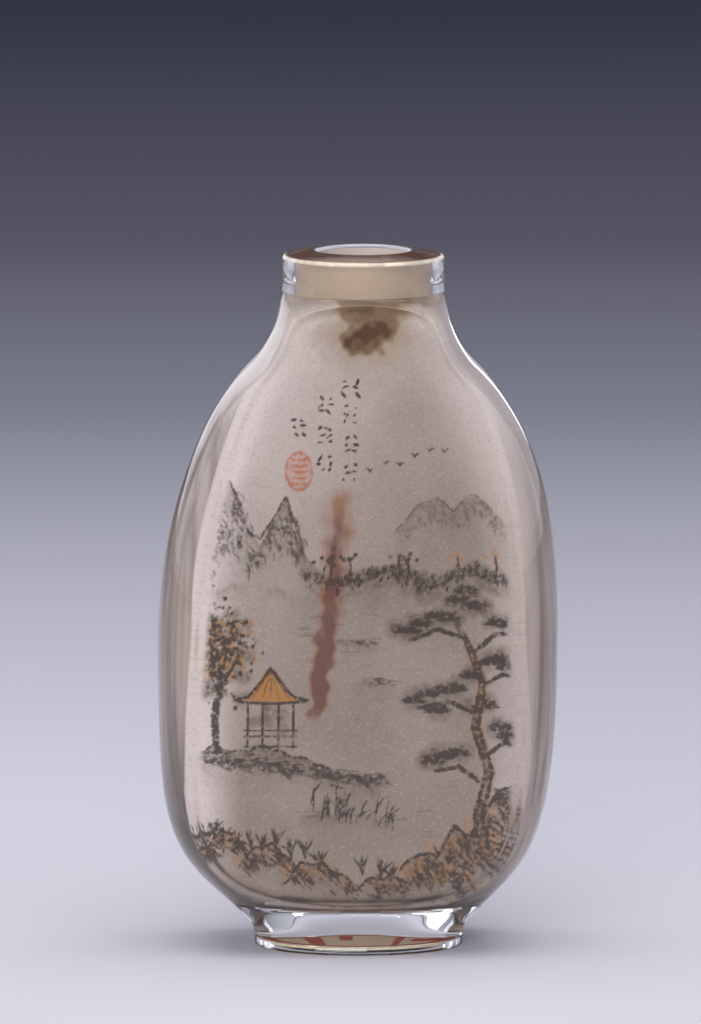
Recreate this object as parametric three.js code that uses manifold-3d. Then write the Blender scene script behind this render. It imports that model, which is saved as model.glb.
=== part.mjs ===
// A glass snuff bottle painted on the inside: a flattened flask with flat faces, round shoulders,
// a short neck and an oval foot, and a paper label stuck in the hollow of the foot.
import * as THREE from "three";
import { mergeVertices } from "three/addons/utils/BufferGeometryUtils.js";
import Module from "manifold-3d";

const wasm = await Module();
wasm.setup();

// Driving dimensions in mm. +Z is up, X runs across the faces, Y from front to back.
const HEIGHT = 62; // underside of the foot to the top of the lip
const WIDTH = 35.32; // widest, just under half height
const DEPTH = 15.6; // between the flat faces
const BELLY_DEPTH = 30.4; // depth the round body would have if its faces weren't cut flat
const NECK_DIA = 14.2;
const MOUTH_DIA = 8.1;
const LIP_DROP = 0.4; // how far the lip falls from the mouth to its outer edge
const LIP_ROUND = 0.25;
const BELLY_Z = 27; // height of the widest section
const NECK_Z = 59.8; // where the neck becomes straight and round
const FACE_WALL = 2.3;
const SIDE_WALL = 2.3;
const FLOOR_Z = 4.2; // floor of the cavity
const BORE_Z = 59; // lower end of the bore
const FOOT = { width: 18.5, depth: 12, top: 4.4, rim: 1.3, recess: 0.6, round: 0.2 };
const LABEL = { gap: 0.3, thick: 0.15, above: 0.15 };
const AROUND = 64; // facets round each section
const ALONG = 10; // facets along each curve of the outline

const bodyR = WIDTH / 2;
const neckR = NECK_DIA / 2;
const mouthR = MOUTH_DIA / 2;
const innerR = bodyR - SIDE_WALL;
const bellyY = BELLY_DEPTH / 2;
const innerY = DEPTH / 2 - FACE_WALL;

const curve = (...p) => {
  const ends = p.map(([r, z]) => new THREE.Vector2(r, z));
  return new THREE.CubicBezierCurve(...ends);
};

// Half widths of the body, from its lower edge over the belly and the shoulders into the neck.
const outerWidth = [
  curve([10.17, 2.69], [15.96, 8.48], [bodyR, 8.73], [bodyR, BELLY_Z]),
  curve([bodyR, BELLY_Z], [bodyR, 42], [13.16, 48.85], [9.82, 52.19]),
  curve([9.82, 52.19], [8.22, 53.79], [neckR, 57.1], [neckR, NECK_Z]),
];
// Half depths of the same sections, before the faces are cut flat.
const outerDepth = [
  curve([5.2, 3], [6, 5.2], [13.5, 5.1], [bellyY, 14]),
  curve([bellyY, 14], [bellyY, 25], [bellyY, 40], [bellyY, 54]),
  curve([bellyY, 54], [bellyY, 58.5], [neckR + 0.2, 57.8], [neckR, NECK_Z]),
];
const innerWidth = [
  curve([0, FLOOR_Z], [10.5, FLOOR_Z], [innerR, 5], [innerR, BELLY_Z]),
  curve([innerR, BELLY_Z], [innerR, 41.2], [11.6, 47.4], [8.2, 50.8]),
  curve([8.2, 50.8], [6.9, 52.6], [6.4, 55], [5.9, 56.6]),
  curve([5.9, 56.6], [5.6, 57.8], [mouthR, 57.9], [mouthR, BORE_Z]),
];
const innerDepth = [
  curve([0, FLOOR_Z], [4.5, FLOOR_Z], [innerY, 4.4], [innerY, 8]),
  curve([innerY, 8], [innerY, 20], [innerY, 40], [innerY, 55.5]),
  curve([innerY, 55.5], [innerY, 57.5], [mouthR, 57.6], [mouthR, BORE_Z]),
];

// How square the cavity's sections are: 2 is an oval, 12 has flat faces and small round corners.
function squareness(z) {
  const up = THREE.MathUtils.smoothstep(z, FLOOR_Z, 8);
  const down = 1 - THREE.MathUtils.smoothstep(z, 54, BORE_Z);
  return 2 + 10 * Math.min(up, down);
}

// Size of a chain of rising curves at height z, found by halving.
function sizeAt(chain, z) {
  const part = chain.find((c) => z <= c.v3.y) ?? chain[chain.length - 1];
  let low = 0;
  let high = 1;
  for (let i = 0; i < 40; i++) {
    const mid = (low + high) / 2;
    if (part.getPoint(mid).y < z) low = mid;
    else high = mid;
  }
  return part.getPoint(high).x;
}

const chainPoints = (chain) =>
  chain.flatMap((c, i) => c.getPoints(ALONG).slice(i ? 1 : 0));

// A mesh's closed surface as a solid that can be joined and cut.
function solid(geometry) {
  const g = geometry.clone();
  g.deleteAttribute("normal");
  g.deleteAttribute("uv");
  const merged = mergeVertices(g, 1e-5);
  const mesh = new wasm.Mesh({
    numProp: 3,
    vertProperties: new Float32Array(merged.attributes.position.array),
    triVerts: new Uint32Array(merged.index.array),
  });
  return new wasm.Manifold(mesh);
}

const eased = (v, power) => (Math.abs(v) < 1e-5 ? 0 : Math.sign(v) * Math.abs(v) ** power);

// A form turned about Z whose sections are then given their half depth and their squareness.
function turned(points, depthAt = (z, r) => r, squareAt = () => 2) {
  const g = new THREE.LatheGeometry(points, AROUND);
  g.rotateX(Math.PI / 2);
  const p = g.attributes.position;
  for (let i = 0; i < p.count; i++) {
    const r = Math.hypot(p.getX(i), p.getY(i));
    if (r < 1e-4) continue;
    const z = p.getZ(i);
    p.setX(i, r * eased(p.getX(i) / r, 2 / squareAt(z)));
    p.setY(i, depthAt(z, r) * eased(p.getY(i) / r, 2 / squareAt(z)));
  }
  return solid(g);
}

function slab(depth, low, high) {
  const g = new THREE.BoxGeometry(3 * WIDTH, depth, high - low);
  g.translate(0, 0, (low + high) / 2);
  return solid(g);
}

// An upright oval drum, its lower edge rounded a little.
function oval(width, depth, low, high, round) {
  const points = [new THREE.Vector2(0, low)];
  for (let i = 0; i <= 3; i++) {
    const a = (i / 3) * (Math.PI / 2);
    const r = width / 2 - round * (1 - Math.sin(a));
    points.push(new THREE.Vector2(r, low + round * (1 - Math.cos(a))));
  }
  points.push(new THREE.Vector2(width / 2, high), new THREE.Vector2(0, high));
  return turned(points, (z, r) => (r * depth) / width);
}

// The body as a round-edged form, cut flat in front and behind.
const lipPoints = [new THREE.Vector2(neckR, HEIGHT - LIP_DROP - LIP_ROUND)];
for (let i = 1; i <= 3; i++) {
  const a = (i / 3) * (Math.PI / 2);
  const r = neckR - LIP_ROUND * (1 - Math.cos(a));
  lipPoints.push(new THREE.Vector2(r, HEIGHT - LIP_DROP - LIP_ROUND * (1 - Math.sin(a))));
}
const bodyStart = outerWidth[0].v0;
const bodyPoints = [
  new THREE.Vector2(0, bodyStart.y),
  ...chainPoints(outerWidth),
  ...lipPoints,
  new THREE.Vector2(mouthR + 0.2, HEIGHT),
  new THREE.Vector2(0, HEIGHT),
];
const outer = turned(bodyPoints, (z, r) => (z >= NECK_Z ? r : sizeAt(outerDepth, z)));
const body = outer.intersect(slab(DEPTH, 0, HEIGHT + 1));

// The cavity follows the outside, and opens through the bore of the neck.
const cavityPoints = [...chainPoints(innerWidth), new THREE.Vector2(0, BORE_Z)];
const cavity = turned(cavityPoints, (z) => sizeAt(innerDepth, z), squareness);
const bore = turned([
  new THREE.Vector2(0, BORE_Z - 0.5),
  new THREE.Vector2(mouthR, BORE_Z - 0.5),
  new THREE.Vector2(mouthR, HEIGHT - 0.3),
  new THREE.Vector2(mouthR + 0.4, HEIGHT + 0.3),
  new THREE.Vector2(0, HEIGHT + 0.3),
]);

// The foot and the hollow under it.
const foot = oval(FOOT.width, FOOT.depth, 0, FOOT.top, FOOT.round);
const hollowWidth = FOOT.width - 2 * FOOT.rim;
const hollowDepth = FOOT.depth - 2 * FOOT.rim;
const hollow = oval(hollowWidth, hollowDepth, -1, FOOT.recess, 0);
const bottle = body.add(foot).subtract(cavity).subtract(bore).subtract(hollow);

// The label, a thin oval of paper under the roof of the hollow.
const labelTop = FOOT.recess - LABEL.above;
const label = oval(
  hollowWidth - 2 * LABEL.gap,
  hollowDepth - 2 * LABEL.gap,
  labelTop - LABEL.thick,
  labelTop,
  0,
);

function named(name, shape, colour, opacity) {
  const m = shape.getMesh();
  const g = new THREE.BufferGeometry();
  g.setAttribute("position", new THREE.BufferAttribute(new Float32Array(m.vertProperties), 3));
  g.setIndex(new THREE.BufferAttribute(new Uint32Array(m.triVerts), 1));
  g.computeVertexNormals();
  const material = new THREE.MeshStandardMaterial({
    color: colour,
    transparent: opacity < 1,
    opacity,
    flatShading: true,
  });
  const mesh = new THREE.Mesh(g, material);
  mesh.name = name;
  return mesh;
}

const part = new THREE.Group();
part.add(named("bottle", bottle, 0xb8aba4, 0.6));
part.add(named("base_label", label, 0xe6dac2, 1));

export default part;
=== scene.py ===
import math

import bpy
import numpy as np
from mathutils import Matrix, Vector


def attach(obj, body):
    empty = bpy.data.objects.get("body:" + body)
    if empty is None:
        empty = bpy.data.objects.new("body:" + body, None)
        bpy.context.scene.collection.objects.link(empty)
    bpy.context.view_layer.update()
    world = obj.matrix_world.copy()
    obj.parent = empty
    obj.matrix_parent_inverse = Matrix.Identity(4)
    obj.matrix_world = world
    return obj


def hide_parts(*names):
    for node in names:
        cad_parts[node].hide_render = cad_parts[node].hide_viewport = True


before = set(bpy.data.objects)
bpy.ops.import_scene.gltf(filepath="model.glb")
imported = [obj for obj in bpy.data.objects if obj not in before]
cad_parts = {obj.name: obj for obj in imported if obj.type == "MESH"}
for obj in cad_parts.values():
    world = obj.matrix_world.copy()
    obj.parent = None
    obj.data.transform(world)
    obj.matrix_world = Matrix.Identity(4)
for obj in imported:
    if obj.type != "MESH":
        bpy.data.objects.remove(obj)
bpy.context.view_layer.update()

# The bottle is one piece of clear glass. It is ground to a flattened flask with a flat front and back,
# hollowed through the neck, and polished outside. A shallow hollow is ground out under the foot.
MM = 0.001
# Half sizes and heights in mm. LEAN is how far the lip stands to the right of the foot's middle.
BODY, HALF_DEPTH, NECK, MOUTH, LEAN = 17.66, 7.8, 7.1, 4.05, 0.42
WALL, FLOOR, BORE_END = 2.3, 4.2, 57.9
INNER_WIDE, INNER_DEEP = BODY - WALL, HALF_DEPTH - WALL
# The round of the flat faces' edge, the power of the cavity's section, and the points in a ring.
EDGE_ROUND, SQUARE, AROUND = 0.3, 12, 208
outer_width = [
    ((9.22, 1.0), (9.3, 1.9), (9.7, 2.2), (10.17, 2.69)),
    ((10.17, 2.69), (15.96, 8.48), (BODY, 8.73), (BODY, 27)),
    ((BODY, 27), (BODY, 42), (13.16, 48.85), (9.82, 52.19)),
    ((9.82, 52.19), (8.22, 53.79), (NECK, 57.1), (NECK, 59.8)),
]
outer_depth = [
    ((6.0, 1.0), (6.0, 3.6), (6.0, 3.7), (6.15, 3.98)),
    ((6.15, 3.98), (8.2, 5.4), (14.4, 5.6), (14.3, 13)),
    ((14.3, 13), (13.7, 20), (13.4, 25), (13.2, 31)),
    ((13.2, 31), (12.9, 36), (12.2, 41), (13.2, 47)),
    ((13.2, 47), (13.9, 50), (14.2, 51), (14.2, 53.6)),
    ((14.2, 53.6), (14.2, 57.6), (NECK + 1.2, 57.2), (NECK, 58.4)),
]
inner_width = [
    ((0, FLOOR), (10.5, FLOOR), (INNER_WIDE, 5), (INNER_WIDE, 27)),
    ((INNER_WIDE, 27), (INNER_WIDE, 41.6), (12.6, 47.2), (9.4, 50.6)),
    ((9.4, 50.6), (7.9, 52.2), (6.8, 54.6), (6.3, 56.4)),
    ((6.3, 56.4), (6.0, 57.5), (MOUTH, 57.3), (MOUTH, BORE_END)),
]
inner_depth = [
    ((0, FLOOR), (4.5, FLOOR), (INNER_DEEP, 4.4), (INNER_DEEP, 8)),
    ((INNER_DEEP, 8), (INNER_DEEP, 20), (INNER_DEEP, 40), (INNER_DEEP, 55.5)),
    ((INNER_DEEP, 55.5), (INNER_DEEP, 57.4), (MOUTH, 57.0), (MOUTH, BORE_END)),
]


def half_size(chain, z):
    """The half width or half depth of an outline, a chain of rising curves, at height z."""
    if z >= chain[-1][3][1]:
        return chain[-1][3][0]
    a, b, c, d = next(curve for curve in chain if z <= curve[3][1])
    low, high = 0.0, 1.0
    for _ in range(30):
        t = (low + high) / 2
        shares = ((1 - t) ** 3, 3 * (1 - t) ** 2 * t, 3 * (1 - t) * t * t, t**3)
        if sum(s * p[1] for s, p in zip(shares, (a, b, c, d))) < z:
            low = t
        else:
            high = t
    return sum(s * p[0] for s, p in zip(shares, (a, b, c, d)))


def smooth(value, low, high):
    """Goes smoothly from 0 at low to 1 at high, which may also lie below low."""
    t = np.clip((value - low) / (high - low), 0, 1)
    return t * t * (3 - 2 * t)


def squareness(z):
    """The power of the cavity's section: 2 is an oval, 12 has flat faces and small round corners."""
    return 2 + (SQUARE - 2) * np.minimum(smooth(z, FLOOR, 8), 1 - smooth(z, 54, BORE_END))


def draw_up(rings, close_first=True, close_last=True):
    """Extrudes a loop of edges through rings given as half width, half depth and height."""
    a, b, z = rings[0]
    bpy.ops.object.select_all(action="DESELECT")
    bpy.ops.mesh.primitive_circle_add(vertices=AROUND, radius=MM, location=(0, 0, z * MM))
    made = bpy.context.object
    bpy.ops.object.transform_apply(location=True, rotation=True, scale=True)
    bpy.ops.object.mode_set(mode="EDIT")
    bpy.ops.mesh.select_all(action="SELECT")
    bpy.ops.transform.resize(value=(a, b, 1), center_override=(0, 0, z * MM))
    if close_first:
        bpy.ops.mesh.duplicate()
        bpy.ops.mesh.edge_face_add()
        bpy.ops.mesh.select_all(action="DESELECT")
        bpy.ops.object.mode_set(mode="OBJECT")
        for v in made.data.vertices[:AROUND]:
            v.select = True
        bpy.ops.object.mode_set(mode="EDIT")
    for a1, b1, z1 in rings[1:]:
        move = {"value": (0, 0, (z1 - z) * MM)}
        bpy.ops.mesh.extrude_region_move(TRANSFORM_OT_translate=move)
        bpy.ops.transform.resize(value=(a1 / a, b1 / b, 1), center_override=(0, 0, z1 * MM))
        a, b, z = a1, b1, z1
    if close_last:
        bpy.ops.mesh.edge_face_add()
    bpy.ops.object.mode_set(mode="OBJECT")
    return made


def out_of_true(x, y, z):
    """The body stands a little out of true: the belly to the left, shoulders and neck to the right."""
    heights = (0, 3.2, 5, 8, 12, 17, 22, 27, 31, 35, 38, 41, 45, 62)
    shifts = (0, 0, -0.12, -0.27, -0.31, -0.18, -0.1, -0.07, 0.02, 0.12, 0.24, 0.38, LEAN, LEAN)
    return x + np.interp(z, heights, shifts), y, z


def reshape(made, change):
    """Moves every point of a mesh to where change puts it, in mm."""
    co = np.empty(len(made.data.vertices) * 3)
    made.data.vertices.foreach_get("co", co)
    co = np.array(change(*(co.reshape(-1, 3).T / MM))).T * MM
    made.data.vertices.foreach_set("co", co.ravel())
    made.data.update()


def weld(made):
    """Merges a mesh's doubles and turns its faces outwards."""
    bpy.ops.object.mode_set(mode="EDIT")
    bpy.ops.mesh.select_all(action="SELECT")
    bpy.ops.mesh.remove_doubles(threshold=0.000004)
    bpy.ops.mesh.normals_make_consistent(inside=False)
    bpy.ops.object.mode_set(mode="OBJECT")


def square_section(x, y, z):
    """Turns a cavity ring's oval into its squarer section, ring by ring."""
    for height in np.unique(np.round(z, 4)):
        ring = np.abs(z - height) < 0.001
        for v in (x, y):
            half = np.abs(v[ring]).max()
            share = np.where(np.abs(v[ring]) < 1e-4 * half, 0, v[ring] / half)
            v[ring] = half * np.sign(share) * np.abs(share) ** (2 / squareness(height))
    return x, y, z


def grind_faces(x, y, z):
    """Presses the body's oval rings flat at front and back, with a small round along the edge."""
    for height in np.unique(np.round(z[(z > 4.0) & (z < 59.4)], 4)):
        ring = np.abs(z - height) < 0.001
        a, b = np.abs(x[ring]).max(), np.abs(y[ring]).max()
        share = np.arctan2(np.abs(y[ring]) / b, np.abs(x[ring]) / a) / (math.pi / 2)
        edge = min(math.asin(min(1, HALF_DEPTH / b)), math.radians(56))
        side = edge * (1 - (1 - np.clip(share * 2, 0, 1)) ** 2)
        face = (math.pi / 2 - edge) * np.clip(share * 2 - 1, 0, 1) ** 1.5
        turn = np.where(share < 0.5, side, edge + face)
        up = b * np.sin(turn)
        short = np.clip(HALF_DEPTH + EDGE_ROUND - up, 0, 2 * EDGE_ROUND)
        eased = HALF_DEPTH - short**2 / (4 * EDGE_ROUND)
        up = np.where(up < HALF_DEPTH - EDGE_ROUND, up, eased)
        x[ring] = np.sign(x[ring]) * a * np.cos(turn)
        y[ring] = np.sign(y[ring]) * up
    return x, y, z


def cavity_rings(grow=0.0):
    """The cavity's rings from the lip down to its floor, grown into the glass by grow."""
    heights = [*np.arange(61.65, 58.3, -0.45), *np.arange(58.2, 55.9, -0.1)]
    heights += [*np.arange(55.5, 49, -0.5), *np.arange(49, 14, -1.25), *np.arange(14, 8, -0.6)]
    heights += [*np.arange(8, 5, -0.2), *np.arange(4.9, 4.4, -0.08), 4.36, 4.3, 4.26, 4.23]
    rings = []
    for z in heights:
        a, b = half_size(inner_width, z), half_size(inner_depth, z)
        rings.append((a + grow, b + grow, z - grow * smooth(5 - z, 0, 0.6)))
    return rings


foot = [(7.95, 4.7, 0.6), (7.95, 4.7, 0.12), (8.0, 4.75, 0.03), (8.1, 4.85, 0.0)]
foot += [(9.0, 5.8, 0.0), (9.14, 5.94, 0.06), (9.2, 5.98, 0.2), (9.2, 6.0, 0.6)]
levels = [*np.arange(1.0, 4.3, 0.25), *np.arange(4.3, 6.6, 0.07), *np.arange(6.6, 14, 0.35)]
levels += [*np.arange(14, 50, 1.1), *np.arange(50, 57.4, 0.35)]
levels += [*np.arange(57.4, 59.4, 0.06), 59.6]
body = [(half_size(outer_width, z), half_size(outer_depth, z), z) for z in levels]
lip = [(NECK, NECK, 60.4), (NECK, NECK, 61.3), (7.06, 7.06, 61.43), (6.96, 6.96, 61.54)]
lip += [(6.8, 6.8, 61.61), (6.2, 6.2, 61.7), (5.5, 5.5, 61.81), (4.9, 4.9, 61.91)]
lip += [(4.5, 4.5, 61.98), (4.34, 4.34, 62.0), (4.2, 4.2, 61.97), (4.1, 4.1, 61.87)]
lip += [(MOUTH, MOUTH, 61.7)]
glass = draw_up(foot + body + lip, close_last=False)
glass.name = glass.data.name = "glass_bottle"
reshape(glass, grind_faces)
reshape(glass, out_of_true)
hollow = draw_up([lip[-1], *cavity_rings()], close_first=False)
reshape(hollow, square_section)
reshape(hollow, out_of_true)
glass.select_set(True)
bpy.context.view_layer.objects.active = glass
bpy.ops.object.join()
weld(glass)
bpy.ops.object.shade_smooth_by_angle(angle=math.radians(34))


class Flow:
    """A socket of a material, on which sums, products and other nodes are built up."""

    def __init__(self, tree, socket=None):
        self.tree, self.socket = tree, socket

    def node(self, kind, settings=None, out=0, **values):
        """Adds a node. Its sockets are given by name, or by number as _0, _1 and so on."""
        made = self.tree.nodes.new(kind)
        for name, value in (settings or {}).items():
            if name == "stops":
                ramp = made.color_ramp
                while len(ramp.elements) < len(value):
                    ramp.elements.new(0.5)
                for stop, (spot, colour) in zip(ramp.elements, value):
                    stop.position, stop.color = spot, (*colour, 1)
            else:
                setattr(made, name, value)
        for name, value in values.items():
            key = int(name[1:]) if name[0] == "_" else name.replace("_", " ")
            if isinstance(value, Flow):
                self.tree.links.new(value.socket, made.inputs[key])
            else:
                made.inputs[key].default_value = value
        return Flow(self.tree, made.outputs[out])

    def maths(self, operation, *others):
        """A Math node on this flow and the others."""
        values = {f"_{i}": v for i, v in enumerate((self, *others))}
        return self.node("ShaderNodeMath", {"operation": operation}, **values)

    def __add__(self, other):
        return self.maths("ADD", other)

    def __mul__(self, other):
        return self.maths("MULTIPLY", other)

    def __sub__(self, other):
        return self.maths("SUBTRACT", other)

    def __rsub__(self, other):
        return self.node("ShaderNodeMath", {"operation": "SUBTRACT"}, _0=other, _1=self)

    __radd__, __rmul__ = __add__, __mul__

    def span(self, low, high, to_low=0.0, to_high=1.0):
        """Maps low..high smoothly to to_low..to_high."""
        settings = {"interpolation_type": "SMOOTHSTEP"}
        bounds = {"_1": low, "_2": high, "_3": to_low, "_4": to_high}
        return self.node("ShaderNodeMapRange", settings, _0=self, **bounds)

    def over(self, under, colour):
        """Lays a colour over another, as thickly as this flow says."""
        under, colour = (c if isinstance(c, Flow) else (*c, 1) for c in (under, colour))
        return self.node("ShaderNodeMix", {"data_type": "RGBA"}, 2, _0=self, _6=under, _7=colour)

    def parts(self):
        """The three parts of a vector or a colour."""
        return [self.node("ShaderNodeSeparateXYZ", out=i, Vector=self) for i in range(3)]

    def noise(self, scale, detail=3.0, stretch=(1, 1, 1)):
        """Cloudy noise, with about scale clouds to a metre."""
        laid = self.node("ShaderNodeMapping", Vector=self, Scale=stretch)
        return self.node("ShaderNodeTexNoise", Vector=laid, Scale=scale, Detail=detail)


def start_finish(name):
    """A new material, a flow in it, and the place on the piece as a flow, in metres."""
    made = bpy.data.materials.new(name)
    made.use_nodes = True
    made.node_tree.nodes.clear()
    flow = Flow(made.node_tree)
    return made, flow, flow.node("ShaderNodeTexCoord", out=3)


def finish(made, shader, piece):
    """Ends a material with its shader and puts it on a piece."""
    out = made.node_tree.nodes.new("ShaderNodeOutputMaterial")
    made.node_tree.links.new(shader.socket, out.inputs["Surface"])
    piece.data.materials.clear()
    piece.data.materials.append(made)


polished, flow, place = start_finish("polished_glass")
ripple = place.noise(170.0, 2.0)
bump = flow.node("ShaderNodeBump", Strength=0.15, Distance=0.00002, Height=ripple)
shader = flow.node(
    "ShaderNodeBsdfPrincipled",
    Base_Color=(0.985, 0.985, 0.98, 1),
    Roughness=place.noise(900.0).span(0.5, 0.8, 0.0, 0.02),
    IOR=1.5,
    Transmission_Weight=1.0,
    Normal=bump,
)
# The lip's outer edge carries a painted highlight, and a brown film of snuff lies on its top, thinnest at
# the front.
x, y, z = (v * 1000.0 for v in place.parts())
# A painted highlight: a lighter colour mixed in along the lip's outer edge.
lip_highlight = z.span(61.15, 61.4) * z.span(61.62, 61.55)
lip_highlight = lip_highlight * place.noise(900.0).span(0.3, 0.7, 0.45, 0.85)
painted_light = flow.node("ShaderNodeBsdfPrincipled", Base_Color=(0.85, 0.74, 0.6, 1), Roughness=0.4)
shader = flow.node("ShaderNodeMixShader", _0=lip_highlight, _1=shader, _2=painted_light)
from_middle = ((x - LEAN).maths("POWER", 2.0) + y.maths("POWER", 2.0)).maths("SQRT")
wiped = y.span(-3.6, -6.2, 0.0, 0.7)
residue = z.span(61.55, 61.64) * from_middle.span(4.2, 4.4) * (1 - wiped)
residue = residue * place.noise(500.0, 4.0).span(0.3, 0.62, 0.75, 0.97)
brown = flow.node(
    "ShaderNodeBsdfPrincipled",
    Base_Color=(0.065, 0.028, 0.016, 1),
    Roughness=0.7,
    Specular_IOR_Level=0.1,
)
shader = flow.node("ShaderNodeMixShader", _0=residue, _1=shader, _2=brown)
finish(polished, shader, glass)
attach(glass, "root")
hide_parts("bottle")

# The coat on the inner wall. The cavity is frosted with grit so that it takes paint, and keeps a pinkish
# grey bloom, brown with use at the sides and in the bore. It wets the glass, so it lies a hair inside it.
COAT, COAT_THICK = 0.02, 0.03
# From BEND_FROM up, the ground faces' edge bends inwards, by BEND_IN over the next BEND_TALL.
BEND_FROM, BEND_TALL, BEND_IN, BEND_POWER = 30.0, 22.3, 5.7, 2.3
coat = draw_up(cavity_rings(COAT), close_first=False)
coat.name = coat.data.name = "frosted_coat"
reshape(coat, square_section)
reshape(coat, out_of_true)
weld(coat)
shell = coat.modifiers.new("shell", "SOLIDIFY")
shell.thickness, shell.offset = COAT_THICK * MM, -1
bpy.ops.object.modifier_apply(modifier="shell")
bpy.ops.object.shade_smooth_by_angle(angle=math.radians(50))


def frosted(place):
    """The coat's colour: cloudy, with painted light at the top and by the faces' edge, brown beyond that
    edge.
    """
    x, y, z = (v * 1000.0 for v in place.parts())
    across = (x - z.span(33.0, 44.0, 0.0, 0.4)).maths("ABSOLUTE")
    bend = ((z - BEND_FROM).maths("MAXIMUM", 0.0) * (1 / BEND_TALL)).maths("POWER", BEND_POWER)
    edge = across + bend * BEND_IN
    cloud = place.noise(130.0, 4.0).span(0.35, 0.68)
    base = cloud.over((0.41, 0.325, 0.275), (0.49, 0.395, 0.34))
    # Painted light: the coat is painted lighter towards the top, most on the upper left.
    painted_light = (z + x * -1.5).span(30.0, 62.0) * place.noise(220.0).span(0.3, 0.6, 0.58, 0.88)
    painted_light = painted_light.maths("MAXIMUM", (z + x * 1.2).span(50.0, 64.0) * 0.7)
    base = painted_light.over(base, (0.82, 0.72, 0.68))
    # A painted highlight: a lighter strip just inside the faces' edge, stronger on the left.
    edge_highlight = edge.span(10.0, 13.3) * z.span(6.0, 14.0) * z.span(54.0, 50.0)
    edge_highlight = edge_highlight * x.span(10.0, -10.0, 0.45, 0.9)
    base = edge_highlight.over(base, (0.88, 0.77, 0.74))
    grain = place.noise(4200.0, 3.0)
    base = grain.span(0.5, 0.3, 0.0, 0.22).over(base, (0.3, 0.25, 0.22))
    base = grain.span(0.55, 0.72, 0.0, 0.3).over(base, (0.8, 0.74, 0.7))
    # The brown bands at the sides, streaked upright: painted light high on the right, painted shade low on
    # the left.
    streaks = place.noise(700.0, 4.0, (1, 1, 0.06)).span(0.36, 0.62)
    band = streaks.over((0.3, 0.22, 0.175), (0.58, 0.47, 0.41))
    band = (z.span(26.0, 38.0) * x.span(4.0, 12.0, 0.0, 0.5)).over(band, (0.66, 0.56, 0.5))
    # Painted shade, nearly black, low on the left side.
    dark = z.span(24.0, 12.0, 0.0, 0.85) * z.span(7.0, 10.5) * x.span(0.0, -9.0)
    band = dark.over(band, (0.09, 0.065, 0.05))
    sides = y.maths("ABSOLUTE").span(4.95, 4.75)
    sides = sides.maths("MAXIMUM", (edge - z.span(30.0, 20.0, 0.0, 0.55)).span(13.85, 14.1))
    base = (sides * (z + x * 0.15).span(50.0, 44.0) * 0.92).over(base, band)
    # The lower edge, rising towards the sides: painted light below it and on the floor, and a painted shade
    # line along it.
    low = z - ((x.maths("ABSOLUTE") * (1 / 14.4)).maths("POWER", 5.0) * 7.4 + 4.5)
    base = low.span(-0.15, -0.6, 0.0, 0.92).over(base, (0.84, 0.77, 0.68))
    # Painted shade: a dark line along the lower edge.
    line = low.span(0.8, 0.25) * low.span(-0.3, 0.05)
    line = line * place.noise(300.0).span(0.3, 0.6, 0.55, 0.9)
    base = line.over(base, (0.1, 0.07, 0.045))
    # Painted light on the cavity's floor.
    base = z.span(4.8, 4.4).over(base, (0.9, 0.82, 0.72))
    bore = y.span(0.0, 1.0).over((0.7, 0.54, 0.39), (0.62, 0.54, 0.5))
    return z.span(56.8, 57.6, 0.0, 0.9).over(base, bore)


bloom, flow, place = start_finish("frosted_bloom")
base = frosted(place)
shader = flow.node("ShaderNodeBsdfPrincipled", Base_Color=base, Roughness=0.85)
finish(bloom, shader, coat)
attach(coat, "root")

# The picture on the inner front wall: ink and thin colour put on through the neck with a bent brush. Peaks
# and a pine on rocks, a garden house and reeds, in greys with ochre. Short marks stand beside a red stamp.
rng = np.random.default_rng(11)
# Its points lie PAINT mm into the glass, just over the coat, evenly spaced across the wall and its corners.
PAINT, COLUMNS, ROWS = 0.035, 236, 372
rows = np.linspace(4.55, 58.4, ROWS)
wide = np.array([half_size(inner_width, z) for z in rows]) + PAINT
deep = np.array([half_size(inner_depth, z) for z in rows]) + PAINT
turn = np.linspace(0, math.pi / 2, 4000)
section = [INNER_WIDE * np.sin(turn) ** (2 / SQUARE), INNER_DEEP * np.cos(turn) ** (2 / SQUARE)]
length = np.append(0, np.cumsum(np.hypot(*np.diff(section))))
reach = np.interp(0.985, section[0] / INNER_WIDE, length)
half = np.interp(np.linspace(0, reach, COLUMNS // 2 + 1), length, section[0] / INNER_WIDE)
share = np.concatenate([-half[:0:-1], half])
X = wide[:, None] * share[None, :]
Z = np.repeat(rows[:, None], len(share), 1)
power = squareness(rows)[:, None]
Y = -deep[:, None] * (1 - np.abs(share[None, :]) ** power) ** (1 / power)


def sheet(name, x, y, z):
    """A grid of points as one sheet that faces outwards."""
    tall, across = x.shape
    bpy.ops.object.select_all(action="DESELECT")
    bpy.ops.mesh.primitive_grid_add(x_subdivisions=across - 1, y_subdivisions=tall - 1, size=1)
    made = bpy.context.object
    made.name = made.data.name = name
    points = np.stack(out_of_true(x, y, z), -1).reshape(-1, 3) * MM
    made.data.vertices.foreach_set("co", points.ravel())
    made.data.update()
    bpy.ops.object.shade_smooth()
    return made


ink, wash, ochre, red, stain, snuff = (np.zeros(X.shape) for _ in range(6))
bend = BEND_IN * (np.clip(Z - BEND_FROM, 0, 99) / BEND_TALL) ** BEND_POWER
beyond = np.abs(X) + bend - 0.6 * smooth(-Z, -30, -20)


def dab(layer, x, z, size, dark):
    """One touch of the brush."""
    top, end = np.searchsorted(rows, (z - 1.5 * size, z + 1.5 * size))
    if top == end:
        return
    left, right = np.searchsorted(X[top], (x - 1.5 * size - 0.15, x + 1.5 * size + 0.15))
    away = np.hypot(X[top:end, left:right] - x, Z[top:end, left:right] - z) / size
    under = layer[top:end, left:right]
    under[:] = np.maximum(under, dark * np.clip(1.5 - away, 0, 1))


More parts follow.
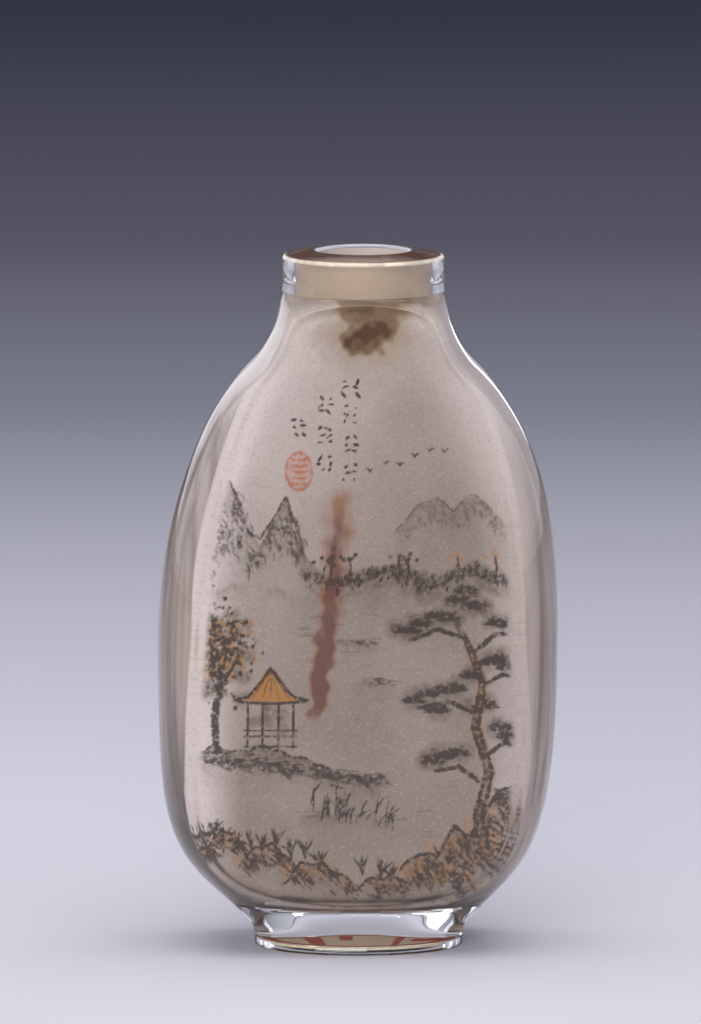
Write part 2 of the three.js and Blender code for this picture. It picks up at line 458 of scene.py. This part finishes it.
def brush(layer, points, size, dark, taper=0.5, shake=0.0):
    """A stroke through points, thin at its ends."""
    points = np.array(points, float)
    at = np.append(0, np.cumsum(np.hypot(*np.diff(points, axis=0).T)))
    count = max(3, int(at[-1] / 0.07))
    for t in np.linspace(0, 1, count):
        x = np.interp(t * at[-1], at, points[:, 0]) + rng.normal(0, shake)
        z = np.interp(t * at[-1], at, points[:, 1]) + rng.normal(0, shake)
        press = (4 * t * (1 - t)) ** taper
        dab(layer, x, z, size * (0.55 + 0.45 * press), dark * (0.35 + 0.65 * press))


def hatch(x, z, wide, tall, lean, count, long, size, dark, bow=0.12):
    """A tuft of short bowed strokes side by side."""
    for _ in range(count):
        x0, z0 = x + rng.normal(0, wide), z + rng.normal(0, tall)
        way = lean + rng.normal(0, 0.18)
        go = np.array([math.cos(way), math.sin(way)]) * long * rng.uniform(0.6, 1.2)
        mid = go / 2 + np.array([-go[1], go[0]]) * bow
        stroke = [(x0, z0), (x0 + mid[0], z0 + mid[1]), (x0 + go[0], z0 + go[1])]
        brush(ink, stroke, size, dark * rng.uniform(0.6, 1.1))


def slope(points, tone, fade, top=0.25):
    """A wash under a ridge line that fades downwards, as hills do in mist."""
    points = np.array(points, float)
    line = np.interp(X, points[:, 0], points[:, 1], left=-99, right=-99)
    line = line + 0.25 * np.sin(X * 2.3 + points[0, 1]) * np.sin(X * 0.9)
    under = np.clip((line - Z) / top, 0, 1) * np.exp(-np.clip(line - Z, 0, 99) / fade)
    start = smooth(X, points[0, 0], points[0, 0] + 1.2)
    end = smooth(-X, -points[-1, 0], 1.2 - points[-1, 0])
    wash[:] = np.maximum(wash, tone * under * (start * end))


def ridge(points, size, dark):
    """The brush line along a hill's or a stone's top, as uneven as its wash."""
    points = np.array(points, float)
    xs = np.arange(points[0, 0], points[-1, 0], 0.12)
    zs = np.interp(xs, points[:, 0], points[:, 1])
    zs = zs + 0.25 * np.sin(xs * 2.3 + points[0, 1]) * np.sin(xs * 0.9)
    brush(ink, np.stack([xs, zs], 1), size, dark, 0.25, 0.02)


# Pointed peaks on the left, standing in mist, and low hills on the right.
peaks = [(-14.7, 33.6), (-13.6, 37.4), (-12.5, 41.0), (-11.7, 42.6), (-10.8, 40.6), (-9.9, 38.0),
         (-8.8, 37.0), (-7.6, 39.4), (-6.7, 41.0), (-5.8, 38.7), (-4.8, 36.0), (-3.0, 34.2)]
slope(peaks, 0.8, 3.4)
ridge(peaks[1:-1], 0.12, 0.7)
clefts = [(-12.7, 39), (-12.2, 37), (-11.2, 40), (-10.7, 37.8), (-7.7, 37.6), (-6.6, 38.6), (-6.0, 36.8),
          (-13.3, 36), (-9.6, 36)]
for x, z in clefts:
    hatch(x, z, 0.4, 0.8, -1.25, 20, 1.3, 0.11, 0.6)
far = [(2.6, 37.4), (4.6, 39.8), (6.4, 41.0), (8.0, 39.8), (9.8, 41.2), (11.6, 39.6), (14.2, 37.2)]
slope(far, 0.62, 1.7)
ridge(far, 0.11, 0.5)
for x in np.arange(3.6, 13.6, 0.5):
    hatch(x, np.interp(x, *zip(*far)) - 0.9, 0.2, 0.3, -1.1, 5, 1.0, 0.1, 0.4)
mist = [(-9.5, 33.4, 0.5), (-1.0, 34.4, 0.75), (4.5, 33.6, 0.85), (10.5, 34.6, 0.7)]
for x, z, tone in mist:
    slope([(x - 5.0, z - 1.3), (x - 1.8, z + 0.2), (x + 1.8, z), (x + 5.2, z - 1.2)], tone, 1.1, 0.5)
# A belt of trees on the far shore.
for x in np.arange(-4.6, 14.2, 0.34):
    z = 33.5 + 0.6 * math.sin(x * 0.8) + rng.normal(0, 0.15)
    hatch(x, z, 0.15, 0.25, 1.4, 5, 0.7, 0.12, 0.75)
    dab(wash, x, z + 0.2, rng.uniform(0.45, 0.8), 0.9)
    dab(wash, x + 0.2, z - 0.75, 0.5, 0.6)
for x in (-2.6, -0.9, 3.4, 4.2, 8.6, 11.9):
    brush(ink, [(x, 33.2), (x + 0.1, 34.6), (x - 0.1, 35.8)], 0.12, 0.8)
    for _ in range(9):
        dab(ochre if x > 8 else ink, x + rng.normal(0, 0.4), 35.6 + rng.normal(0, 0.4), 0.2, 0.7)
# Birds over the water, in a slanting line.
for i in range(6):
    x, z = 0.6 + 1.3 * i, 43.2 + 0.4 * i + 0.3 * math.sin(2.2 * i)
    left, right = [(x - 0.42, z + 0.2), (x - 0.16, z + 0.24)], [(x + 0.2, z + 0.28), (x + 0.46, z + 0.2)]
    brush(ink, [*left, (x, z), *right], 0.1, 0.7)
# The pine on the right, on a rock bank.
trunk = [(11.6, 8.5), (10.8, 12.5), (11.7, 16.5), (10.4, 20.6), (11.0, 24.6), (9.6, 28.0), (8.4, 30.2)]
for shift in (-0.4, -0.2, 0.0, 0.2, 0.4):
    brush(ink, [(x + shift * (1.3 - 0.03 * z), z) for x, z in trunk], 0.14, 0.5 + abs(shift), 0.3, 0.04)
    brush(ochre, [(x + shift * 0.9, z) for x, z in trunk[:6]], 0.25, 0.5, 0.4)
limbs = [((10.9, 24.0), (12.6, 25.2), (13.6, 25.0)), ((10.7, 21.5), (8.2, 22.8), (5.2, 22.2)),
         ((11.4, 18.0), (13.0, 19.2), (13.7, 18.8)), ((10.1, 27.0), (12.0, 28.8), (13.4, 28.8)),
         ((9.4, 28.4), (7.0, 29.2), (4.5, 28.2)), ((11.2, 15.4), (9.0, 17.0), (6.8, 16.6))]
for limb in limbs:
    brush(ink, limb, 0.2, 0.9, 0.3, 0.03)
pads = [(12.6, 26.2), (13.3, 25.6), (11.6, 26.0), (8.6, 23.7), (7.4, 23.5), (6.2, 23.2), (5.0, 22.7),
        (12.7, 20.2), (13.4, 19.5), (12.2, 29.6), (13.2, 29.4), (7.8, 30.0), (6.6, 30.0), (5.4, 29.5),
        (4.4, 28.9), (8.7, 31.6), (10.2, 31.0), (9.3, 32.4), (8.9, 18.0), (7.8, 17.7), (6.7, 17.3),
        (10.0, 24.9), (11.2, 22.2), (7.0, 21.8)]
for x, z in pads:
    for spoke in np.linspace(0.1, math.pi - 0.1, 21):
        tip = rng.uniform(0.8, 1.15)
        needle = [(x, z), (x + tip * 1.2 * math.cos(spoke), z + tip * 0.85 * math.sin(spoke))]
        brush(ink, needle, 0.11, rng.uniform(0.55, 0.95))
    for _ in range(4):
        dab(wash, x + rng.normal(0, 0.45), z + 0.3 + rng.normal(0, 0.18), 0.8, 0.85)
# The rock bank under it.
bank = [(3.6, 7.4), (5.6, 9.4), (7.2, 9.0), (8.8, 11.6), (10.2, 10.8), (11.6, 13.4), (13.0, 15.0),
        (14.6, 15.6)]
slope(bank, 0.95, 4.2)
ridge(bank, 0.16, 0.9)
cracks = [(5.4, 7.8), (6.8, 8.2), (8.0, 9.6), (8.4, 7.6), (9.4, 10.2), (10.6, 9.2), (11.6, 11.6), (12.4, 10),
          (13.2, 12.8), (12.6, 14)]
for x, z in cracks:
    hatch(x, z, 0.5, 0.6, -0.95, 26, 1.4, 0.12, 0.75)
    for _ in range(4):
        dab(ochre, x + rng.normal(0, 0.7), z + rng.normal(0, 0.5), 0.7, 0.45)
# Rocks and grass along the bottom.
stones = [[(-13.4, 9.0), (-12.4, 10.9), (-10.9, 11.0), (-9.8, 9.4), (-9.0, 7.8)],
          [(-10.2, 8.0), (-8.8, 9.9), (-7.2, 10.1), (-5.6, 8.4), (-4.8, 6.9)],
          [(-6.6, 6.4), (-4.8, 8.2), (-2.8, 8.4), (-1.0, 7.1), (0.2, 6.0)],
          [(-0.2, 5.9), (1.6, 7.1), (3.4, 7.2), (5.0, 6.2)]]
for points in stones:
    slope(points, 0.85, 2.4)
    ridge(points, 0.14, 0.9)
    for x, z in points[1:-1]:
        hatch(x, z - 0.9, 0.45, 0.35, -0.7, 17, 1.1, 0.115, 0.75)
        dab(ochre, x, z - 0.5, 0.9, 0.35)
for x in (-13, -12.4, -11.6, -10.4, -9.2, -8.2, -7.0, -5.6, -4.4, -3.2, 0.6, 2.2, 3.1):
    z = 10.3 - 0.24 * (x + 12.5) + rng.normal(0, 0.2)
    for _ in range(9):
        lean = rng.normal(0, 0.55)
        blade = [(x, z), (x + 0.25 * lean, z + 0.9), (x + lean, z + rng.uniform(1.2, 2.0))]
        brush(ink, blade, 0.1, 0.8)
# The garden house on a low bank at the left, with a maple beside it.
shore = [(-14.4, 17.8), (-12.8, 18.7), (-10.6, 18.4), (-8.0, 18.7), (-5.4, 18.0), (-3.0, 16.9),
         (-0.6, 16.2), (2.6, 15.6)]
slope(shore, 0.9, 1.6)
ridge(shore, 0.13, 0.8)
for x in np.arange(-13.9, 1.6, 0.45):
    hatch(x, 17.6 - 0.13 * (x + 13), 0.35, 0.3, -0.14, 8, 1.5, 0.11, 0.65, 0.03)
for z in np.arange(22.9, 25.6, 0.16):
    side = 2.6 - 2.3 * ((z - 22.8) / 2.9) ** 0.65
    brush(ochre, [(-7.6 - side, z), (-7.6 + side, z)], 0.18, 1.0, 0.1)
roof = [(-11.0, 22.9), (-9.6, 23.2), (-8.4, 24.6), (-7.6, 25.8), (-6.8, 24.6), (-5.6, 23.2), (-4.2, 22.9)]
brush(ink, roof, 0.15, 1.0, 0.3)
brush(ink, [(-10.8, 22.8), (-7.6, 22.6), (-4.4, 22.8)], 0.13, 0.9, 0.2)
for x in (-9.6, -8.3, -6.9, -5.6):
    brush(ink, [(x, 22.6), (x, 18.6)], 0.12, 0.85, 0.1)
for z in (18.8, 19.7, 20.2):
    brush(ink, [(-10.0, z), (-5.2, z)], 0.1, 0.75, 0.1)
for x in (-9.3, -8.4, -7.6, -6.8, -5.9):
    brush(ink, [(-7.6, 25.6), (x, 22.9)], 0.08, 0.6)
for _ in range(9):
    dab(wash, rng.uniform(-9.4, -5.8), rng.uniform(20.3, 22.4), 0.5, 0.6)
for shift in (-0.16, 0, 0.16):
    stem = [(-12.3 + shift, 18.2), (-12.5 + shift, 21.4), (-12.0 + shift, 24.4), (-12.4, 27.6)]
    brush(ink, stem, 0.17, 0.85, 0.3, 0.05)
for x, z in ((-10.6, 26.0), (-13.8, 26.6), (-11.0, 28.8), (-13.4, 29.4), (-9.6, 27.6)):
    brush(ink, [(-12.2, 23.6), ((x - 12.2) / 2, (z + 24.4) / 2), (x, z)], 0.13, 0.8)
for _ in range(60):
    dab(wash, -12.0 + rng.normal(0, 1.25), 27.6 + rng.normal(0, 1.5), 0.7, 0.75)
for _ in range(420):
    x, z = -12.0 + rng.normal(0, 1.35), 27.7 + rng.normal(0, 1.6)
    dab(ink, x, z, rng.uniform(0.12, 0.2), rng.uniform(0.4, 0.95))
for _ in range(230):
    x, z = -11.9 + rng.normal(0, 1.25), 27.5 + rng.normal(0, 1.5)
    dab(ochre, x, z, rng.uniform(0.13, 0.26), rng.uniform(0.4, 0.95))
# Ripples on the water and reeds that stand in it.
for _ in range(70):
    x, z = rng.uniform(-7, 8), rng.uniform(10.5, 31)
    if (x > 3.2 and z > 16) or (15.4 < z < 27 and x < -2.5):
        continue
    long = rng.uniform(0.9, 3.2)
    line = [(x, z), (x + long / 2, z + rng.normal(0.06, 0.05)), (x + long, z)]
    brush(ink, line, 0.09, rng.uniform(0.22, 0.5))
for x in np.concatenate([rng.normal(-1.6, 1.2, 34), rng.normal(2.6, 0.7, 12)]):
    z, lean = 12.2 + rng.normal(0, 0.3) - 0.15 * x, rng.normal(0.3, 0.4)
    tall = rng.uniform(1.1, 2.7)
    reed = [(x, z), (x + 0.3 * lean, z + tall * 0.6), (x + lean, z + tall)]
    brush(ink, reed, 0.1, rng.uniform(0.5, 0.9))
slope([(-5.4, 12.4), (-3.0, 13.1), (-0.4, 13.0), (2.6, 12.4), (4.2, 12.0)], 0.8, 0.9)
for x, z in ((1.4, 24.6), (-0.2, 28.2)):
    slope([(x - 2.6, z - 0.4), (x - 0.6, z + 0.3), (x + 1.2, z + 0.2), (x + 2.4, z - 0.4)], 0.7, 0.6)
    hatch(x, z - 0.1, 0.9, 0.15, -0.1, 16, 1.0, 0.1, 0.6, 0.03)
# Marks in three columns, which aren't letters, beside an oval stamp of plain bars.
for x, zs in ((-1.1, (50.6, 48.2, 45.6, 43.1)), (-3.3, (49.0, 46.4, 43.9)), (-5.6, (47.1,))):
    for z in zs:
        for step in range(6):
            x0 = x + 0.8 * (step % 2 - 0.5) + rng.normal(0, 0.12)
            z0 = z + 0.6 * (step // 2 - 1) + rng.normal(0, 0.07)
            way, go = rng.uniform(-1.3, 1.3), rng.uniform(0.14, 0.36)
            along, up = go * math.cos(way), go * math.sin(way)
            tick = [(x0 - along, z0 - up), (x0 + along, z0 + up)]
            brush(ink, tick, rng.uniform(0.08, 0.15), rng.uniform(0.75, 1.0), 0.3)
STAMP_X, STAMP_Z = -5.6, 43.2
oval = np.hypot((X - STAMP_X) / 1.25, (Z - STAMP_Z) / 1.8)
red[:] = 0.35 * smooth(oval, 1.06, 0.9) + 0.5 * smooth(np.abs(oval - 0.92), 0.14, 0.03)
for way in np.arange(-1.2, 1.3, 0.55):
    ends = STAMP_Z + way + 0.1
    brush(red, [(-6.4, ends), (STAMP_X, STAMP_Z + way * 0.95), (-4.8, ends)], 0.12, 0.95, 0.2)
# What use has left: a red-brown run from the middle down, and old snuff caked below the neck.
run = np.interp(Z, (20.5, 33, 41), (-3.7, -2.3, -1.9))
run = run + 0.15 * np.sin(Z * 1.7) + 0.12 * np.sin(Z * 3.7)
spread = np.interp(Z, (20.5, 23, 30, 34, 38, 42.5), (0.7, 1.1, 1.7, 1.5, 2.3, 3.0))
spread = spread + 0.15 * np.sin(Z * 2.9 + 1)
heights, depths = (20.4, 21.6, 24, 29, 31, 34.5, 38, 40.5, 42.5), (0, 0.9, 1, 1, 0.92, 0.95, 0.95, 0.7, 0)
core = spread * np.interp(Z, (24, 38), (0.45, 0.0))
stain[:] = np.interp(Z, heights, depths) * smooth(np.abs(X - run), spread, core)
wobble = 0.14 * np.sin(X * 1.7 + 0.6) + 0.12 * np.sin(Z * 2.3 + X)
wobble = wobble + 0.1 * np.sin(X * 4.7 - Z) * np.sin(Z * 3.9)
cake = np.hypot((X - 0.35 - 0.3 * (Z - 55)) / 2.4, (Z - 55.1) / 2.1) + wobble
top = np.hypot((X - 0.9) / 4.3, (Z - 57.1) / 1.9) + wobble * 0.8
halo = np.hypot((X - 0.5) / 6.6, (Z - 55.4) / 4.8) + wobble * 0.4
snuff[:] = np.maximum(1.0 * smooth(cake, 1.35, 0.3), 0.34 * smooth(halo, 1.15, 0.2))
snuff[:] = np.maximum(snuff, 0.74 * smooth(top, 1.3, 0.3)) * smooth(-Z, -58.0, -57.7)


def end_at_edge():
    """Fades the brushwork out a little inside the ground face's edge."""
    for layer in (ink, wash, ochre):
        layer *= smooth(-beyond, -13.6, -12.6)


def store(made, name, *layers):
    """Keeps three layers on a sheet as the red, green and blue of one attribute."""
    colours = made.data.attributes.new(name, "FLOAT_COLOR", "POINT")
    full = [np.clip(layer, 0, 1).ravel() for layer in layers]
    full.append(np.ones(X.size))
    colours.data.foreach_set("color", np.stack(full, -1).ravel())


end_at_edge()
front = sheet("painted_front", X, Y, Z)
store(front, "brushwork", ink, wash, ochre)
store(front, "marks", red, stain, snuff)


def painted(name, piece):
    """The coat with the brushwork over it; the ink is dry and grainy, the washes are thin."""
    made, flow, place = start_finish(name)
    base = frosted(place)
    ink, wash, ochre = flow.node("ShaderNodeAttribute", {"attribute_name": "brushwork"}, 1).parts()
    red, stain, snuff = flow.node("ShaderNodeAttribute", {"attribute_name": "marks"}, 1).parts()
    blot = place.noise(420.0, 4.0).span(0.3, 0.7, 0.6, 1.15)
    grain = place.noise(2600.0, 3.0).span(0.3, 0.6, 0.5, 1.15)
    cake = snuff + (place.noise(620.0, 6.0) - 0.48) * snuff * 0.85
    base = cake.span(0.05, 0.4, 0.0, 0.6).over(base, (0.46, 0.32, 0.16))
    base = cake.span(0.35, 0.68, 0.0, 0.75).over(base, (0.22, 0.125, 0.055))
    base = cake.span(0.66, 0.98, 0.0, 0.85).over(base, (0.1, 0.042, 0.014))
    base = (wash * blot * grain).over(base, (0.17, 0.12, 0.082))
    base = (ochre * blot).over(base, (0.6, 0.27, 0.06))
    run = stain.span(0.7, 0.97).over((0.4, 0.17, 0.075), (0.2, 0.068, 0.045))
    drip = place.noise(900.0, 4.0, (1, 1, 0.25)).span(0.3, 0.7, 0.6, 1.1)
    base = (stain * drip).span(0.05, 0.85, 0.0, 0.88).over(base, run)
    base = (red * grain).over(base, (0.66, 0.2, 0.1))
    base = (ink * grain).span(0.05, 0.8, 0.0, 0.97).over(base, (0.075, 0.05, 0.036))
    shader = flow.node("ShaderNodeBsdfPrincipled", Base_Color=base, Roughness=0.85)
    finish(made, shader, piece)


painted("inside_painting", front)
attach(front, "root")

# The picture on the inner back wall, put on in the same way and plainer: bamboo beside a stone, with low
# hills behind. The front picture's ground hides it from the front.
for layer in (ink, wash, ochre, red, stain, snuff):
    layer[:] = 0
hills = [(-14, 36), (-11, 38.4), (-8, 37.6), (-4, 39.6), (0, 37.4), (4, 38.8), (8, 36.4), (14, 35.6)]
slope(hills, 0.5, 2.2)
ridge(hills, 0.11, 0.45)
canes = [(-8.6, -6.2, 50.0), (-6.9, -7.4, 46.0), (-4.6, -1.4, 48.4), (-9.8, -11.4, 41.0)]
for foot_x, top_x, top_z in canes:
    joints = np.linspace(9.0, top_z, 9)
    line = np.interp(joints, (9.0, top_z), (foot_x, top_x)) + 0.5 * np.sin(joints / 12)
    for k in range(8):
        for shift in (-0.14, 0.0, 0.14):
            stem = [(line[k] + shift, joints[k] + 0.25), (line[k + 1] + shift, joints[k + 1] - 0.1)]
            brush(ink, stem, 0.15, 0.6 - shift, 0.15)
        if k < 2:
            continue
        for side in (-1, 1):
            x, z = line[k] + 1.6 * side, joints[k] + rng.uniform(0.4, 1.6)
            brush(ink, [(line[k], joints[k]), (x, z)], 0.09, 0.6)
            for lean in rng.normal(-1.35 + 0.5 * side, 0.45, 5):
                along, up = math.cos(lean), math.sin(lean)
                leaf = [(x, z), (x + 1.4 * along, z + 1.4 * up), (x + 2.8 * along, z + 3.0 * up)]
                brush(ink, leaf, 0.34, rng.uniform(0.5, 0.95), 0.8)
stone = [(-3.6, 7.0), (-1.8, 10.6), (0.4, 12.4), (2.6, 12.0), (4.4, 14.0), (6.6, 12.8), (8.2, 9.4),
         (9.6, 6.8)]
slope(stone, 0.85, 4.0)
ridge(stone, 0.16, 0.9)
for x, z in ((-1.4, 8.8), (0.6, 10.2), (2.6, 9.6), (4.2, 11.4), (5.8, 10.4), (7.2, 8.6)):
    hatch(x, z, 0.6, 0.8, -1.0, 22, 1.5, 0.12, 0.7)
    dab(ochre, x, z, 1.0, 0.5)
slope([(-14, 8.4), (-10, 9.4), (-5, 8.6), (0, 7.2), (6, 7.0), (13.6, 7.6)], 0.8, 1.6)
end_at_edge()
back = sheet("painted_back", -X, -Y, Z)
store(back, "brushwork", ink, wash, ochre)
store(back, "marks", red, stain, snuff)
painted("inside_painting_back", back)
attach(back, "root")

# The base label, a thin oval of cream paper with a red border and a few red bars. It is glued into the
# foot's hollow, and it shows through the glass.
LABEL_WIDE, LABEL_DEEP = 7.65, 4.4
label = draw_up([(LABEL_WIDE, LABEL_DEEP, 0.34), (LABEL_WIDE, LABEL_DEEP, 0.615)])
label.name = label.data.name = "paper_label"
weld(label)
paper, flow, place = start_finish("label_paper")
x, y, z = (v * 1000.0 for v in place.parts())
fibre = place.noise(1500.0, 4.0)
base = fibre.span(0.3, 0.7).over((0.95, 0.76, 0.5), (1.0, 0.87, 0.64))
share_x, share_y = x * (1 / LABEL_WIDE), y * (1 / LABEL_DEEP)
outwards = (share_x.maths("POWER", 2.0) + share_y.maths("POWER", 2.0)).maths("SQRT")
mark = outwards.span(0.8, 0.83) * outwards.span(0.97, 0.94)
bars = [(-3.3, 0.65, -3.2, 3), (-0.9, 0.5, 0.2, 3.4), (3.0, 0.3, -3.4, 3.4), (5.4, 1.4, -0.6, 1.8)]
for middle, half, low, high in bars:
    bar = (x - middle).maths("ABSOLUTE").span(half + 0.1, half - 0.1)
    bar = bar * y.span(low - 0.1, low + 0.1) * y.span(high + 0.1, high - 0.1)
    mark = mark.maths("MAXIMUM", bar)
base = (mark * fibre.span(0.25, 0.5, 0.75, 1.0)).over(base, (0.66, 0.09, 0.035))
shader = flow.node("ShaderNodeBsdfPrincipled", Base_Color=base, Roughness=0.8)
finish(paper, shader, label)
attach(label, "root")
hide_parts("base_label")

# The studio: a sheet of paper that the bottle stands on, with a painted pool of light: palest around it and
# painted darker in front and far behind. Soft boxes stand above, at both sides, behind and in front.
bpy.ops.object.select_all(action="DESELECT")
bpy.ops.mesh.primitive_plane_add(size=3.0, location=(0, 0.4, 0))
floor = bpy.context.object
bpy.ops.object.transform_apply(location=True)
floor.name = floor.data.name = "studio_floor"
sheet_paper, flow, place = start_finish("paper_painted_light_pool")
# Painted light: the floor runs from dark in front to palest around the bottle, then dark far behind.
painted_light_pool = [
    (0.13, (0.16, 0.155, 0.17)),
    (0.32, (0.6, 0.59, 0.65)),
    (0.367, (0.61, 0.6, 0.66)),
    (0.453, (0.56, 0.55, 0.62)),
    (0.529, (0.435, 0.43, 0.495)),
    (0.635, (0.21, 0.216, 0.268)),
    (0.757, (0.112, 0.107, 0.146)),
    (1.0, (0.05, 0.054, 0.09)),
]
along = flow.node("ShaderNodeMapRange", _0=place.parts()[1], _1=-0.6, _2=0.9)
base = flow.node("ShaderNodeValToRGB", {"stops": painted_light_pool}, Fac=along)
shader = flow.node(
    "ShaderNodeBsdfPrincipled", Base_Color=base, Roughness=0.95, Specular_IOR_Level=0.1
)
finish(sheet_paper, shader, floor)


def soft_box(name, spot, aim, size, power, colour=(1, 1, 1)):
    """A lamp with a flat glowing front, turned from its spot towards its aim."""
    data = bpy.data.lights.new(name, "AREA")
    data.shape, data.size, data.size_y = "RECTANGLE", *size
    data.energy, data.color = power, colour
    lamp = bpy.data.objects.new(name, data)
    lamp.location = spot
    lamp.rotation_mode = "QUATERNION"
    lamp.rotation_quaternion = (Vector(aim) - Vector(spot)).to_track_quat("-Z", "Y")
    lamp.visible_camera = False
    bpy.context.scene.collection.objects.link(lamp)


soft_box("top_light", (0, -0.15, 1.0), (0, 0, 0.03), (1.1, 1.1), 10.5)
soft_box("left_light", (-0.42, 0.1, 0.2), (0, 0, 0.05), (0.6, 0.4), 0.6, (0.9, 0.92, 1))
soft_box("right_light", (0.42, 0.1, 0.2), (0, 0, 0.05), (0.6, 0.4), 0.6, (0.9, 0.92, 1))
soft_box("left_edge_light", (-0.42, 0.95, 0.2), (0, 0, 0.05), (0.4, 0.36), 0.35)
soft_box("right_edge_light", (0.28, 1.0, 0.2), (0, 0, 0.05), (0.06, 0.38), 0.2)
soft_box("front_light", (-0.3, -1.2, 0.3), (0, 0, 0.03), (0.9, 0.5), 11, (1, 0.98, 0.95))
# The front light is for the paint alone, so the polished glass doesn't mirror it.
bpy.data.objects["front_light"].visible_glossy = False
world = bpy.data.worlds.new("studio")
world.use_nodes = True
room = Flow(world.node_tree)
up = room.node("ShaderNodeTexCoord", out=0).parts()[2]
air = [(0.0, (0.5, 0.51, 0.6)), (0.2, (0.34, 0.35, 0.42)), (0.6, (0.08, 0.08, 0.1))]
glow = room.node("ShaderNodeValToRGB", {"stops": air}, Fac=up)
world.node_tree.links.new(glow.socket, world.node_tree.nodes["Background"].inputs["Color"])
bpy.context.scene.world = world
bpy.context.scene.view_settings.view_transform = "Standard"

# The camera looks a little down on the front face from 80 cm away.
camera = bpy.data.objects.new("camera", bpy.data.cameras.new("camera"))
bpy.context.scene.collection.objects.link(camera)
camera.location = (-0.0007, -0.7904, 0.1548)
camera.rotation_euler = (math.radians(81.643), 0, 0)
camera.data.lens, camera.data.sensor_width, camera.data.clip_end = 318.5, 36, 20
bpy.context.scene.camera = camera
